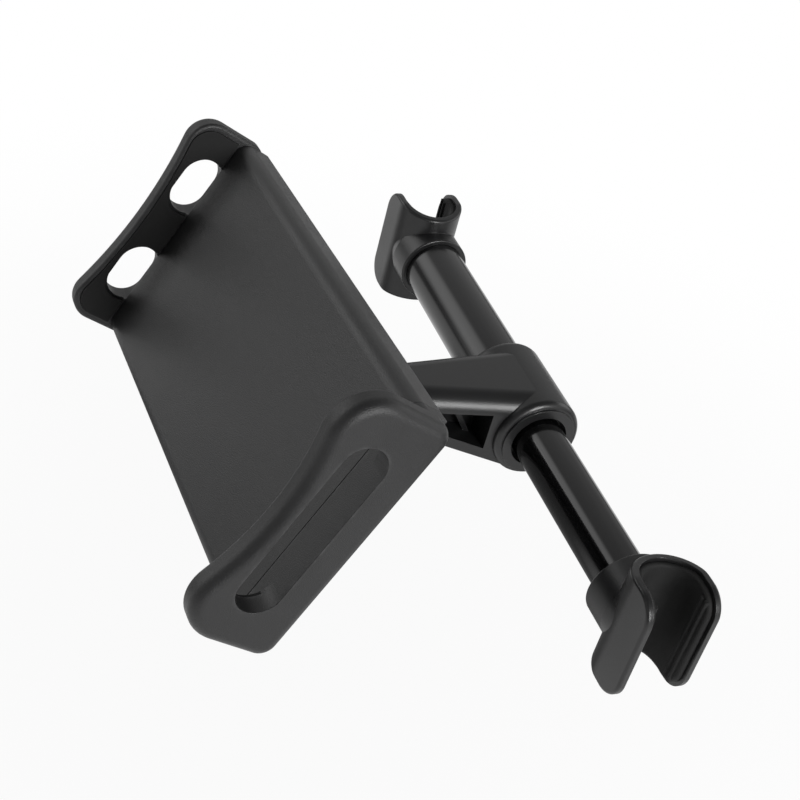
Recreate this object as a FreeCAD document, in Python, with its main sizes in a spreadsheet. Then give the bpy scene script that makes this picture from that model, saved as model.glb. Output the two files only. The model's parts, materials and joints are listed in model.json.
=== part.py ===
import FreeCAD, Part
import math
import os
import types

import Sketcher

# Headrest tablet holder: a telescopic bar with a padded hook at each end, an arm that turns on the bar,
# and a spring-loaded cradle on a ball joint. X runs along the bar, Y from the passenger to the seat, Z up.

# Driving sizes in millimetres and degrees, one sheet cell each.
driving_sizes = {
    # hooks and bar
    "post_spacing": 176.6,
    "clamp_radius": 7.3,
    "hook_liner_wall": 1.5,
    "hook_wall": 2.0,
    "hook_half_length": 17.2,
    "hook_saddle_half": 15.7,
    "hook_flare_start": 2.0,
    "prong_reach": 9.2,
    "prong_corner": 7.0,
    "flare_corner": 7.0,
    "hook_rim": 0.9,
    "hook_neck_end": 1.5,
    "hook_neck_radius": 10.2,
    "hook_neck_start": 4.8,
    "liner_rim": 1.2,
    "liner_edge": 0.9,
    "ridge_radius": 0.6,
    "ridge_start": 3.8,
    "ridge_pitch": 1.9,
    "ridge_end_gap": 1.6,
    "socket_floor": 2.5,
    "collar_wall": 1.65,
    "collar_length": 4.0,
    "collar_edge": 0.5,
    "spigot_length": 7.0,
    "outer_tube_radius": 9.65,
    "outer_tube_wall": 1.5,
    "guide_gap": 0.65,
    "inner_tube_wall": 1.2,
    "inner_tube_overlap": 18.0,
    "fit_clearance": 0.05,
    "running_clearance": 0.06,
    "end_clearance": 0.4,
    # rod guide and twist lock
    "guide_length": 10.0,
    "guide_flange": 1.1,
    "plug_length": 12.0,
    "plug_slit": 1.2,
    "spindle_radius": 4.0,
    "spindle_shank": 10.0,
    "spindle_flange": 0.8,
    "spindle_head": 2.0,
    "spindle_head_radius": 6.0,
    # arm
    "sleeve_length": 31.4,
    "sleeve_wall": 2.45,
    "sleeve_round": 2.2,
    "sleeve_near_round": 1.9,
    "sleeve_ring_step": 0.8,
    "sleeve_lip": 3.4,
    "sleeve_lip_step": 1.15,
    "bush_wall": 0.9,
    "bush_end_gap": 0.6,
    "arm_reach": 70.28,
    "arm_rise": 7.357,
    "arm_nose_gap": 18.0,
    "arm_inset": 1.8,
    "arm_nose_half": 7.7,
    "arm_top": 13.0,
    "arm_top_round": 5.5,
    "arm_belly_slope": 17.8,
    "arm_belly_gap": 0.8,
    "arm_skin": 3.4,
    "arm_pocket_top": 7.3,
    "arm_pocket_end": 15.0,
    "arm_pocket_nose": 8.0,
    "arm_web": 4.0,
    "arm_rib": 2.2,
    "arm_rib_height": 3.0,
    "arm_rib_lean": 7.0,
    "arm_rib_place": 24.0,
    "nose_boss_wall": 3.2,
    "nose_boss_length": 16.0,
    # ball joint
    "ball_radius": 8.5,
    "stem_radius": 3.5,
    "stem_seat": 12.0,
    "ball_liner_wall": 0.8,
    "liner_mouth_angle": 50.0,
    "liner_crown_angle": 18.0,
    "cup_floor": 3.05,
    "cup_wall": 2.8,
    "cup_past_ball": 2.0,
    "nut_wall": 2.7,
    "nut_front_gap": 2.0,
    "nut_rear": 6.5,
    "nut_mouth_angle": 60.0,
    "nut_chamfer": 0.9,
    "nut_flute_radius": 1.5,
    "nut_flute_depth": 0.7,
    "nut_flutes": 16.0,
    # cradle
    "cradle_lean": 29.21,
    "cradle_spin": 4.264,
    "grip_gap": 135.0,
    "plate_width": 71.2,
    "cover_depth": 9.5,
    "cover_wall": 2.0,
    "cover_round": 4.0,
    "rear_plate": 2.0,
    "cover_clearance": 0.2,
    "boss_radius": 2.6,
    "boss_inset": 15.5,
    "boss_wall_gap": 1.2,
    "screw_radius": 1.25,
    "screw_tip_gap": 1.0,
    "screw_head_radius": 2.3,
    "screw_head": 1.3,
    "screw_head_seat": 1.1,
    # jaws
    "jaw_thickness": 6.5,
    "jaw_overhang": 0.6,
    "jaw_base": 3.6,
    "left_lip": 11.8,
    "left_ear": 4.4,
    "right_lip": 15.3,
    "right_ear": 9.5,
    "left_corner": 7.5,
    "right_corner": 11.0,
    "base_corner": 4.5,
    "jaw_outer_edge": 3.0,
    "jaw_inner_edge": 1.0,
    "window_length": 18.2,
    "window_height": 12.6,
    "window_spacing": 32.8,
    "window_centre": 2.8,
    "slot_length": 50.0,
    "slot_height": 12.0,
    "pad_wall": 1.5,
    "pad_recess": 1.0,
    "pad_side": 2.2,
    "pad_top": 1.2,
    "pad_foot": 0.5,
    "left_pad_corner": 6.0,
    "right_pad_corner": 9.0,
    "pad_window_margin": 0.7,
    "tab_length": 22.0,
    "rail_width": 14.0,
    "rail_thickness": 2.2,
    "rail_gap": 5.5,
    "rail_clearance": 0.3,
    "guide_rib_width": 6.0,
    "guide_rib_length": 36.0,
    "guide_rib_start": 6.0,
    # return springs
    "spring_radius": 2.2,
    "spring_wire": 0.45,
    "spring_pitch": 4.4,
    "spring_length": 53.0,
    "spring_side_gap": 1.8,
    "spring_anchor_inset": 6.5,
    "spring_anchor": 3.0,
}

doc = FreeCAD.newDocument("tablet_holder")
sheet = doc.addObject("Spreadsheet::Sheet", "sizes")
for row, (alias, value) in enumerate(driving_sizes.items(), start=1):
    sheet.set(f"A{row}", str(value))
    sheet.setAlias(f"A{row}", alias)
doc.recompute()


class Size:
    # A size that carries its sheet expression together with its number.

    def __init__(self, text, number):
        self.text = text
        self.number = number

    def joined(self, sign, other, number):
        return Size(f"({self.text} {sign} {text_of(other)})", number)

    def __add__(self, other):
        return self.joined("+", other, self.number + number_of(other))

    def __radd__(self, other):
        return self + other

    def __sub__(self, other):
        return self.joined("-", other, self.number - number_of(other))

    def __rsub__(self, other):
        return -self + other

    def __mul__(self, other):
        return self.joined("*", other, self.number * number_of(other))

    def __truediv__(self, other):
        return self.joined("/", other, self.number / number_of(other))

    def __neg__(self):
        return Size(f"(-1 * {self.text})", -self.number)


def text_of(value):
    return value.text if isinstance(value, Size) else repr(float(value))


def number_of(value):
    return value.number if isinstance(value, Size) else float(value)


def sine(angle):
    return Size(f"sin({angle.text})", math.sin(math.radians(angle.number)))


def cosine(angle):
    return Size(f"cos({angle.text})", math.cos(math.radians(angle.number)))


def tangent(angle):
    return Size(f"tan({angle.text})", math.tan(math.radians(angle.number)))


def root(size):
    return Size(f"sqrt({size.text})", math.sqrt(size.number))


dim = types.SimpleNamespace()
for alias in driving_sizes:
    setattr(dim, alias, Size(f"sizes.{alias}", getattr(sheet, alias)))


def bind(thing, path, size):
    thing.setExpression(path, text_of(size))


def new_body(label):
    body = doc.addObject("PartDesign::Body", label)
    body.Label = label
    return body


def sketch_on(body, name, plane, offset=None):
    sketch = body.newObject("Sketcher::SketchObject", f"{body.Label}_{name}")
    support = next(one for one in body.Origin.OriginFeatures if one.Role == plane)
    sketch.AttachmentSupport = [(support, "")]
    sketch.MapMode = "FlatFace"
    if offset is not None:
        bind(sketch, "AttachmentOffset.Base.z", offset)
    return sketch


def driven(sketch, constraint, size):
    index = sketch.addConstraint(constraint)
    if isinstance(size, Size):
        bind(sketch, f"Constraints[{index}]", size)


def pin(sketch, side, end, across=None, up=None):
    if across is not None:
        driven(sketch, Sketcher.Constraint("DistanceX", -1, 1, side, end, number_of(across)), across)
    if up is not None:
        driven(sketch, Sketcher.Constraint("DistanceY", -1, 1, side, end, number_of(up)), up)


def arc_between(start, finish, centre, radius):
    # Counter-clockwise arc through two points, and which of its ends is the start.
    first = math.atan2(start.y - centre.y, start.x - centre.x)
    last = math.atan2(finish.y - centre.y, finish.x - centre.x)
    circle = Part.Circle(centre, FreeCAD.Vector(0, 0, 1), radius)
    turns_left = math.sin(last - first) > 0
    if turns_left:
        return Part.ArcOfCircle(circle, first, last), 1
    return Part.ArcOfCircle(circle, last, first), 2


def outline(sketch, corners, arcs=None):
    # Closed profile through the corners. A corner is (across, up), or (across, up, "x" or "y") where it
    # ends an arc and only that coordinate is pinned. arcs maps a side to its centre, and to its radius where
    # no corner sets that.
    arcs = arcs or {}
    points = [FreeCAD.Vector(number_of(corner[0]), number_of(corner[1]), 0) for corner in corners]
    base = sketch.GeometryCount
    start_ends = []
    for side, start in enumerate(points):
        finish = points[(side + 1) % len(points)]
        if side in arcs:
            across, up = arcs[side][:2]
            centre = FreeCAD.Vector(number_of(across), number_of(up), 0)
            shape, start_end = arc_between(start, finish, centre, start.sub(centre).Length)
        else:
            shape, start_end = Part.LineSegment(start, finish), 1
        sketch.addGeometry(shape)
        start_ends.append(start_end)
    for side in range(len(points)):
        following = (side + 1) % len(points)
        finish_end = 3 - start_ends[side]
        sketch.addConstraint(Sketcher.Constraint(
            "Coincident", base + side, finish_end, base + following, start_ends[following]))
    for side, corner in enumerate(corners):
        pinned = corner[2] if len(corner) > 2 else "xy"
        across = corner[0] if "x" in pinned else None
        up = corner[1] if "y" in pinned else None
        pin(sketch, base + side, start_ends[side], across, up)
    for side, (across, up, *radius) in arcs.items():
        pin(sketch, base + side, 3, across, up)
        carries_on = side - 1 in arcs
        if radius and not carries_on:
            driven(sketch, Sketcher.Constraint("Radius", base + side, number_of(radius[0])), radius[0])


def block(sketch, left, bottom, right, top):
    outline(sketch, [(left, bottom), (right, bottom), (right, top), (left, top)])


def circle(sketch, across, up, radius):
    centre = FreeCAD.Vector(number_of(across), number_of(up), 0)
    side = sketch.addGeometry(Part.Circle(centre, FreeCAD.Vector(0, 0, 1), number_of(radius)))
    pin(sketch, side, 3, across, up)
    driven(sketch, Sketcher.Constraint("Radius", side, number_of(radius)), radius)


def obround(sketch, across, up, length, height):
    half = (length - height) / 2
    radius = height / 2
    right = across + half
    left = across - half
    outline(
        sketch,
        [(left, up - radius, "x"), (right, up - radius, "x"), (right + radius, up, "y"),
         (right, up + radius, "x"), (left, up + radius, "x"), (left - radius, up, "y")],
        {1: (right, up, radius), 2: (right, up, radius), 4: (left, up, radius), 5: (left, up, radius)},
    )


def pad(body, sketch, length, back=False):
    feature = body.newObject("PartDesign::Pad", f"{sketch.Name}_pad")
    feature.Profile = sketch
    bind(feature, "Length", length)
    feature.Reversed = back
    return feature


def pocket(body, sketch, length=None, back=False):
    # Cuts against the sketch's normal, or along it with back, to a length or through everything.
    doc.recompute()
    before = body.Shape.Volume
    feature = body.newObject("PartDesign::Pocket", f"{sketch.Name}_cut")
    feature.Profile = sketch
    feature.Reversed = back
    if length is None:
        feature.Type = "ThroughAll"
    else:
        bind(feature, "Length", length)
    doc.recompute()
    if not body.Shape.Volume < before - 0.01:
        raise RuntimeError(f"{feature.Name} cuts nothing")
    return feature


def spun(body, sketch, axis, cuts=False):
    kind = "Groove" if cuts else "Revolution"
    feature = body.newObject(f"PartDesign::{kind}", f"{sketch.Name}_spun")
    feature.Profile = sketch
    feature.ReferenceAxis = (sketch, [axis])
    feature.Angle = 360.0
    return feature


def rounded(body, name, radius, chosen):
    doc.recompute()
    base = body.Tip
    edges = [f"Edge{index}" for index, edge in enumerate(base.Shape.Edges, start=1) if chosen(edge)]
    feature = body.newObject("PartDesign::Fillet", f"{body.Label}_{name}")
    feature.Base = (base, edges)
    bind(feature, "Radius", radius)
    doc.recompute()
    return feature


def middle(edge):
    return edge.valueAt((edge.FirstParameter + edge.LastParameter) / 2)


def runs_along(edge, axis):
    if not isinstance(edge.Curve, Part.Line):
        return False
    return abs(getattr(edge.tangentAt(edge.FirstParameter), axis)) > 0.999


def near(value, size):
    return abs(value - number_of(size)) < 0.02


def placed(base, lean, spin=0.0):
    turn = FreeCAD.Rotation(FreeCAD.Vector(1, 0, 0), lean)
    return FreeCAD.Placement(base, turn.multiply(FreeCAD.Rotation(FreeCAD.Vector(0, 0, 1), spin)))


# Values that several pieces share.
hook_seat = dim.clamp_radius + dim.hook_liner_wall
hook_outer = hook_seat + dim.hook_wall
post_place = dim.post_spacing / 2
tube_end = post_place - hook_seat - dim.socket_floor
outer_tube_bore = dim.outer_tube_radius - dim.outer_tube_wall
inner_tube_radius = outer_tube_bore - dim.guide_gap
inner_tube_bore = inner_tube_radius - dim.inner_tube_wall
sleeve_half = dim.sleeve_length / 2
guide_bore = inner_tube_radius + dim.running_clearance
bush_bore = dim.outer_tube_radius + dim.running_clearance
bush_outer = bush_bore + dim.bush_wall
sleeve_bore = bush_outer + dim.fit_clearance
sleeve_outer = sleeve_bore + dim.sleeve_wall
belly_reach = sleeve_outer - dim.arm_belly_gap
lip_face = sleeve_half - dim.sleeve_lip
lip_bore = dim.outer_tube_radius - dim.sleeve_lip_step
outer_tube_end = lip_face - dim.end_clearance - dim.guide_flange

liner_inner = dim.ball_radius + dim.running_clearance
liner_outer = liner_inner + dim.ball_liner_wall
cup_bore = liner_outer + dim.running_clearance
cup_outer = cup_bore + dim.cup_wall
nut_bore = cup_outer + dim.running_clearance
nut_outer = nut_bore + dim.nut_wall
ball_depth = dim.cover_depth + dim.cup_floor + cup_bore

half_gap = dim.grip_gap / 2
half_width = dim.plate_width / 2
seam = half_gap - dim.jaw_base
cover_right = seam - dim.cover_clearance
cover_inside = half_width - dim.cover_wall
rear_face = dim.cover_depth - dim.rear_plate
boss_across = cover_inside - dim.boss_radius - dim.boss_wall_gap
boss_along = half_gap - dim.boss_inset
rail_outside = boss_across - dim.boss_radius - dim.boss_wall_gap
rail_inside = rail_outside - dim.rail_width
rail_top = dim.cover_wall + dim.rail_clearance
rail_bottom = rail_top + dim.rail_thickness
spring_across = rail_inside - dim.spring_radius - dim.spring_side_gap
spring_level = (dim.cover_wall + rear_face) / 2
spring_start = -half_gap + dim.spring_anchor_inset + dim.spring_anchor
spring_end = spring_start + dim.spring_length

# Ball centre on the arm's axis, and the cradle's front centre in front of it.
rise = math.radians(dim.arm_rise.number)
lean = math.radians(dim.cradle_lean.number)
ball_place = FreeCAD.Vector(0, -math.cos(rise), math.sin(rise)) * dim.arm_reach.number
cradle_normal = FreeCAD.Vector(0, -math.cos(lean), math.sin(lean))
cradle_lean_turn = 90 - dim.cradle_lean.number
arm_lean_turn = 90 - dim.arm_rise.number
cradle_place = placed(
    ball_place + cradle_normal * ball_depth.number, cradle_lean_turn, dim.cradle_spin.number)
nut_place = placed(ball_place, cradle_lean_turn, dim.cradle_spin.number)
ball_turn = placed(ball_place, arm_lean_turn)


# Bar: two telescopic tubes.
def tube(label, start, finish, outer, bore):
    body = new_body(label)
    sketch = sketch_on(body, "section", "XY_Plane")
    block(sketch, start, bore, finish, outer)
    spun(body, sketch, "H_Axis")
    return body


outer_tube = tube("outer_tube", -tube_end, outer_tube_end, dim.outer_tube_radius, outer_tube_bore)
inner_tube = tube("inner_tube", -dim.inner_tube_overlap, tube_end, inner_tube_radius, inner_tube_bore)


def make_guide_bush():
    # Flanged ring pressed into the outer tube's mouth, which guides the inner tube.
    body = new_body("rod_guide_bush")
    sketch = sketch_on(body, "section", "XY_Plane")
    barrel = outer_tube_bore - dim.fit_clearance
    outline(sketch, [
        (outer_tube_end - dim.guide_length, guide_bore),
        (outer_tube_end + dim.guide_flange, guide_bore),
        (outer_tube_end + dim.guide_flange, dim.outer_tube_radius),
        (outer_tube_end, dim.outer_tube_radius),
        (outer_tube_end, barrel),
        (outer_tube_end - dim.guide_length, barrel),
    ])
    spun(body, sketch, "H_Axis")
    return body


def make_lock_spindle():
    # Shank in the inner tube's end, a flange against that end, and a headed spindle for the plug.
    body = new_body("lock_spindle")
    sketch = sketch_on(body, "section", "XY_Plane")
    tube_stop = -dim.inner_tube_overlap
    flange_face = tube_stop - dim.spindle_flange
    head_face = flange_face - dim.plug_length - dim.end_clearance * 2
    shank = inner_tube_bore - dim.fit_clearance
    outline(sketch, [
        (head_face - dim.spindle_head, 0.0),
        (tube_stop + dim.spindle_shank, 0.0),
        (tube_stop + dim.spindle_shank, shank),
        (tube_stop, shank),
        (tube_stop, inner_tube_radius),
        (flange_face, inner_tube_radius),
        (flange_face, dim.spindle_radius),
        (head_face, dim.spindle_radius),
        (head_face, dim.spindle_head_radius),
        (head_face - dim.spindle_head, dim.spindle_head_radius),
    ])
    spun(body, sketch, "H_Axis")
    return body


def make_lock_plug():
    # Split ring that the spindle spreads against the outer tube's bore.
    body = new_body("lock_plug")
    start = -dim.inner_tube_overlap - dim.spindle_flange - dim.end_clearance
    sketch = sketch_on(body, "section", "XY_Plane")
    block(sketch, start - dim.plug_length, dim.spindle_radius + dim.running_clearance,
          start, outer_tube_bore - dim.running_clearance)
    spun(body, sketch, "H_Axis")
    slit = sketch_on(body, "slit", "XY_Plane")
    block(slit, start - dim.plug_length * 2, -dim.plug_slit / 2, start + dim.plug_length, dim.plug_slit / 2)
    pocket(body, slit, back=True)
    return body


guide_bush = make_guide_bush()
lock_spindle = make_lock_spindle()
lock_plug = make_lock_plug()


# Hooks: a U channel round the post with saddle-shaped ends, on a collar that takes the tube. Each is drawn
# about its post's axis with the prongs towards +X.
def u_corners(reach, radius):
    return [(reach, -radius), (reach, radius), (0.0, radius, "x"), (-radius, 0.0, "y"), (0.0, -radius, "x")]


def u_arcs(radius):
    return {2: (0.0, 0.0, radius), 3: (0.0, 0.0, radius)}


def saddle_cuts(body, back, setback):
    # Slopes that bring the channel's ends down from the prongs to its back.
    low = dim.hook_saddle_half - setback
    high = dim.hook_half_length - setback
    for name, side in (("saddle_top", 1.0), ("saddle_foot", -1.0)):
        sketch = sketch_on(body, name, "XZ_Plane", -back * 2)
        outline(sketch, [
            (-back * 2, low * side),
            (-back, low * side),
            (-dim.hook_flare_start, high * side),
            (-dim.hook_flare_start, (high + dim.hook_wall) * side),
            (-back * 2, (high + dim.hook_wall) * side),
        ])
        pocket(body, sketch, back * 4, back=True)


def round_prongs(body, reach, setback):
    def tips(edge):
        return runs_along(edge, "y") and near(middle(edge).x, reach)

    def flares(edge):
        return runs_along(edge, "y") and near(middle(edge).x, -dim.hook_flare_start)

    rounded(body, "tips", dim.prong_corner - setback, tips)
    rounded(body, "flares", dim.flare_corner, flares)


def off_axis(place):
    # How far a point lies from the channel's middle line, round its back or square to its prongs.
    return math.hypot(place.x, place.y) if place.x < 0 else abs(place.y)


def make_hook(label, tube_radius, tube_bore):
    body = new_body(label)
    channel = sketch_on(body, "channel", "XY_Plane", -dim.hook_half_length)
    outline(channel, u_corners(dim.prong_reach, hook_outer), u_arcs(hook_outer))
    pad(body, channel, dim.hook_half_length * 2)
    saddle_cuts(body, hook_outer, 0.0)
    round_prongs(body, dim.prong_reach, 0.0)

    def rims(edge):
        place = middle(edge)
        along_wall = runs_along(edge, "z") and place.x < dim.prong_reach.number - 0.01
        return off_axis(place) > hook_outer.number - 0.02 and not along_wall

    rounded(body, "rims", dim.hook_rim, rims)

    stop = -hook_seat - dim.socket_floor
    mouth = stop - dim.collar_length
    neck = -hook_outer + dim.hook_neck_start
    collar = dim.outer_tube_radius + dim.collar_wall
    edge = dim.collar_edge
    section = sketch_on(body, "collar", "XY_Plane")
    outline(
        section,
        [(mouth, 0.0), (-dim.hook_neck_end, 0.0), (-dim.hook_neck_end, dim.hook_neck_radius),
        (neck, collar), (mouth + edge, collar, "x"), (mouth, collar - edge, "y")],
        {4: (mouth + edge, collar - edge, edge)})
    spun(body, section, "H_Axis")

    seat = sketch_on(body, "seat", "XY_Plane", dim.hook_half_length * 2)
    outline(seat, u_corners(dim.prong_reach * 2, hook_seat), u_arcs(hook_seat))
    pocket(body, seat)

    socket = sketch_on(body, "socket", "YZ_Plane", mouth)
    circle(socket, 0.0, 0.0, tube_radius + dim.fit_clearance)
    pocket(body, socket, dim.collar_length, back=True)
    spigot = sketch_on(body, "spigot", "YZ_Plane", stop)
    circle(spigot, 0.0, 0.0, tube_bore - dim.fit_clearance)
    pad(body, spigot, dim.spigot_length, back=True)
    return body


def make_hook_liner(label):
    body = new_body(label)
    outer = hook_seat - dim.fit_clearance
    inner = dim.clamp_radius
    reach = dim.prong_reach - dim.liner_rim
    length = dim.hook_half_length - dim.liner_rim
    section = sketch_on(body, "section", "XY_Plane", -length)
    outline(
        section,
        [(reach, inner), (reach, outer), (0.0, outer, "x"), (-outer, 0.0, "y"), (0.0, -outer, "x"),
         (reach, -outer), (reach, -inner), (0.0, -inner, "x"), (-inner, 0.0, "y"), (0.0, inner, "x")],
        {2: (0.0, 0.0, outer), 3: (0.0, 0.0, outer), 7: (0.0, 0.0, inner), 8: (0.0, 0.0, inner)},
    )
    pad(body, section, length * 2)
    saddle_cuts(body, hook_outer, dim.liner_rim)
    round_prongs(body, reach, dim.liner_rim)

    def lips(edge):
        place = middle(edge)
        along_wall = runs_along(edge, "z") and place.x < reach.number - 0.01
        return abs(off_axis(place) - inner.number) < 0.05 and not along_wall

    rounded(body, "lips", dim.liner_edge, lips)
    ridges = sketch_on(body, "ridges", "XY_Plane", -length + dim.ridge_end_gap)
    for side in (1.0, -1.0):
        for step in range(2):
            circle(ridges, dim.ridge_start + dim.ridge_pitch * step, dim.clamp_radius * side, dim.ridge_radius)
    pad(body, ridges, (length - dim.ridge_end_gap) * 2)
    return body


left_hook = make_hook("left_hook", dim.outer_tube_radius, outer_tube_bore)
right_hook = make_hook("right_hook", inner_tube_radius, inner_tube_bore)
left_liner = make_hook_liner("left_hook_liner")
right_liner = make_hook_liner("right_hook_liner")
right_place = FreeCAD.Placement(FreeCAD.Vector(post_place.number, 0, 0), FreeCAD.Rotation())
left_place = FreeCAD.Placement(
    FreeCAD.Vector(-post_place.number, 0, 0), FreeCAD.Rotation(FreeCAD.Vector(0, 0, 1), 180))
for piece in (left_hook, left_liner):
    piece.Placement = left_place
for piece in (right_hook, right_liner):
    piece.Placement = right_place


# Arm: a tapered moulding from the sleeve to the ball stud's boss, hollowed from both sides to a web with a
# slanting rib.
def arm_belly(place):
    # Height of the underside, a line that leaves the sleeve just inside its round and climbs towards the ball.
    return tangent(dim.arm_belly_slope) * place - belly_reach / cosine(dim.arm_belly_slope)


def make_arm():
    body = new_body("arm")
    nose = (dim.arm_reach - dim.arm_nose_gap) * cosine(dim.arm_rise)
    tail = belly_reach * sine(dim.arm_belly_slope)
    arm_half = sleeve_half - dim.arm_inset
    side = sketch_on(body, "side", "YZ_Plane", -arm_half)
    outline(side, [
        (-nose, arm_belly(nose)),
        (-tail, arm_belly(tail)),
        (0.0, 0.0),
        (0.0, dim.arm_top),
        (-nose, dim.arm_top),
    ])
    pad(body, side, arm_half * 2)
    taper = sketch_on(body, "taper", "XY_Plane", sleeve_outer * 2)
    for way in (1.0, -1.0):
        outline(taper, [
            (arm_half * way, 0.0),
            (arm_half * (2 * way), 0.0),
            (arm_half * (2 * way), -nose * 2),
            (dim.arm_nose_half * way * 2 - arm_half * way, -nose * 2),
        ])
    pocket(body, taper)

    def top_edges(edge):
        place = middle(edge)
        return near(place.z, dim.arm_top) and abs(place.x) > 1 and not runs_along(edge, "x")

    rounded(body, "top", dim.arm_top_round, top_edges)

    pocket_top = dim.arm_pocket_top
    front = nose - dim.arm_pocket_nose
    rear = dim.arm_pocket_end
    rib = dim.arm_rib_place
    rib_foot = rib - dim.arm_rib_lean
    for name, side, back in (("right", 1.0, True), ("left", -1.0, False)):
        hollow = sketch_on(body, f"hollow_{name}", "YZ_Plane", (dim.arm_web / 2 + dim.arm_rib_height) * side)
        outline(hollow, [
            (-front, arm_belly(front) + dim.arm_skin),
            (-rear, arm_belly(rear) + dim.arm_skin),
            (-rear, pocket_top),
            (-front, pocket_top),
        ])
        pocket(body, hollow, back=back)
        sketch = sketch_on(body, f"cells_{name}", "YZ_Plane", dim.arm_web * (side / 2))
        outline(sketch, [
            (-front, arm_belly(front) + dim.arm_skin),
            (-rib_foot - dim.arm_rib, arm_belly(rib_foot + dim.arm_rib) + dim.arm_skin),
            (-rib - dim.arm_rib, pocket_top),
            (-front, pocket_top),
        ])
        outline(sketch, [
            (-rib_foot, arm_belly(rib_foot) + dim.arm_skin),
            (-rear, arm_belly(rear) + dim.arm_skin),
            (-rear, pocket_top),
            (-rib, pocket_top),
        ])
        pocket(body, sketch, back=back)

    far = dim.sleeve_round
    close = dim.sleeve_near_round
    ring = sleeve_outer - close
    shoulder = sleeve_half - dim.sleeve_ring_step
    sleeve = sketch_on(body, "sleeve", "XY_Plane")
    outline(
        sleeve,
        [(-sleeve_half, sleeve_bore), (lip_face, sleeve_bore), (lip_face, lip_bore), (sleeve_half, lip_bore),
         (sleeve_half, ring), (shoulder, ring, "y"), (shoulder - close, sleeve_outer, "x"),
         (-sleeve_half + far, sleeve_outer, "x"), (-sleeve_half, sleeve_outer - far, "y")],
        {5: (shoulder - close, ring, close), 7: (-sleeve_half + far, sleeve_outer - far, far)},
    )
    spun(body, sleeve, "H_Axis")

    boss = body.newObject("PartDesign::AdditiveCylinder", "arm_nose_boss")
    bind(boss, "Radius", dim.stem_radius + dim.nose_boss_wall)
    bind(boss, "Height", dim.nose_boss_length)
    boss.Placement = ball_turn.multiply(FreeCAD.Placement(
        FreeCAD.Vector(0, 0, -dim.arm_nose_gap.number - dim.nose_boss_length.number), FreeCAD.Rotation()))
    stem_hole = body.newObject("PartDesign::SubtractiveCylinder", "arm_stem_hole")
    bind(stem_hole, "Radius", dim.stem_radius + dim.fit_clearance)
    bind(stem_hole, "Height", dim.stem_seat + dim.arm_nose_gap)
    stem_hole.Placement = ball_turn.multiply(FreeCAD.Placement(
        FreeCAD.Vector(0, 0, -dim.arm_nose_gap.number - dim.stem_seat.number), FreeCAD.Rotation()))

    bore = sketch_on(body, "bore", "YZ_Plane", lip_face)
    circle(bore, 0.0, 0.0, sleeve_bore)
    pocket(body, bore)
    mouth = sketch_on(body, "mouth", "YZ_Plane", sleeve_half)
    circle(mouth, 0.0, 0.0, lip_bore)
    pocket(body, mouth, dim.sleeve_lip)
    return body


def make_sleeve_bush():
    return tube("sleeve_bush", -sleeve_half + dim.bush_end_gap, outer_tube_end, bush_outer, bush_bore)


arm = make_arm()
sleeve_bush = make_sleeve_bush()


# Ball joint, drawn about the ball's centre with the cradle towards +Z.
def make_ball_stud():
    body = new_body("ball_stud")
    shoulder = root(dim.ball_radius * dim.ball_radius - dim.stem_radius * dim.stem_radius)
    tail = dim.arm_nose_gap + dim.stem_seat
    sketch = sketch_on(body, "section", "XZ_Plane")
    outline(
        sketch,
        [(0.0, dim.ball_radius, "x"), (dim.ball_radius, 0.0, "y"), (dim.stem_radius, -shoulder, "x"),
         (dim.stem_radius, -tail), (0.0, -tail)],
        {0: (0.0, 0.0, dim.ball_radius), 1: (0.0, 0.0, dim.ball_radius)},
    )
    spun(body, sketch, "V_Axis")
    body.Placement = ball_turn
    return body


def make_ball_liner():
    body = new_body("ball_liner")
    sketch = sketch_on(body, "section", "XZ_Plane")
    crown = cosine(dim.liner_crown_angle)
    crown_across = sine(dim.liner_crown_angle)
    mouth = -cosine(dim.liner_mouth_angle)
    mouth_across = sine(dim.liner_mouth_angle)
    outline(
        sketch,
        [(liner_inner * crown_across, liner_inner * crown, "y"),
         (liner_outer * crown_across, liner_outer * crown, "y"),
         (liner_outer, 0.0, "y"),
         (liner_outer * mouth_across, liner_outer * mouth, "y"),
         (liner_inner * mouth_across, liner_inner * mouth, "y"),
         (liner_inner, 0.0, "y")],
        {1: (0.0, 0.0, liner_outer), 2: (0.0, 0.0, liner_outer),
         4: (0.0, 0.0, liner_inner), 5: (0.0, 0.0, liner_inner)},
    )
    spun(body, sketch, "V_Axis")
    body.Placement = ball_turn
    return body


def make_lock_nut():
    # Fluted ring over the cup, with a round seat behind the ball and a flared mouth for the stem.
    body = new_body("lock_nut")
    sketch = sketch_on(body, "section", "XZ_Plane")
    front = ball_depth - dim.cover_depth - dim.nut_front_gap
    shoulder = dim.cup_past_ball + dim.end_clearance
    seat_end = cup_bore * cosine(dim.nut_mouth_angle)
    seat_start_across = root(cup_bore * cup_bore - shoulder * shoulder)
    outline(
        sketch,
        [(nut_bore, front), (nut_outer - dim.nut_chamfer, front), (nut_outer, front - dim.nut_chamfer),
         (nut_outer, -dim.nut_rear + dim.nut_chamfer), (nut_outer - dim.nut_chamfer, -dim.nut_rear),
         (dim.nut_rear * tangent(dim.nut_mouth_angle), -dim.nut_rear),
         (cup_bore * sine(dim.nut_mouth_angle), -seat_end, "y"),
         (seat_start_across, -shoulder, "y"), (nut_bore, -shoulder)],
        {6: (0.0, 0.0, cup_bore)},
    )
    spun(body, sketch, "V_Axis")
    flute = sketch_on(body, "flute", "XY_Plane", ball_depth)
    circle(flute, nut_outer + dim.nut_flute_radius - dim.nut_flute_depth, 0.0, dim.nut_flute_radius)
    cut = pocket(body, flute)
    flutes = body.newObject("PartDesign::PolarPattern", "lock_nut_flutes")
    flutes.Originals = [cut]
    flutes.Axis = (sketch, ["V_Axis"])
    flutes.Angle = 360.0
    bind(flutes, "Occurrences", dim.nut_flutes)
    body.Tip = flutes
    body.Placement = nut_place
    return body


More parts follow.
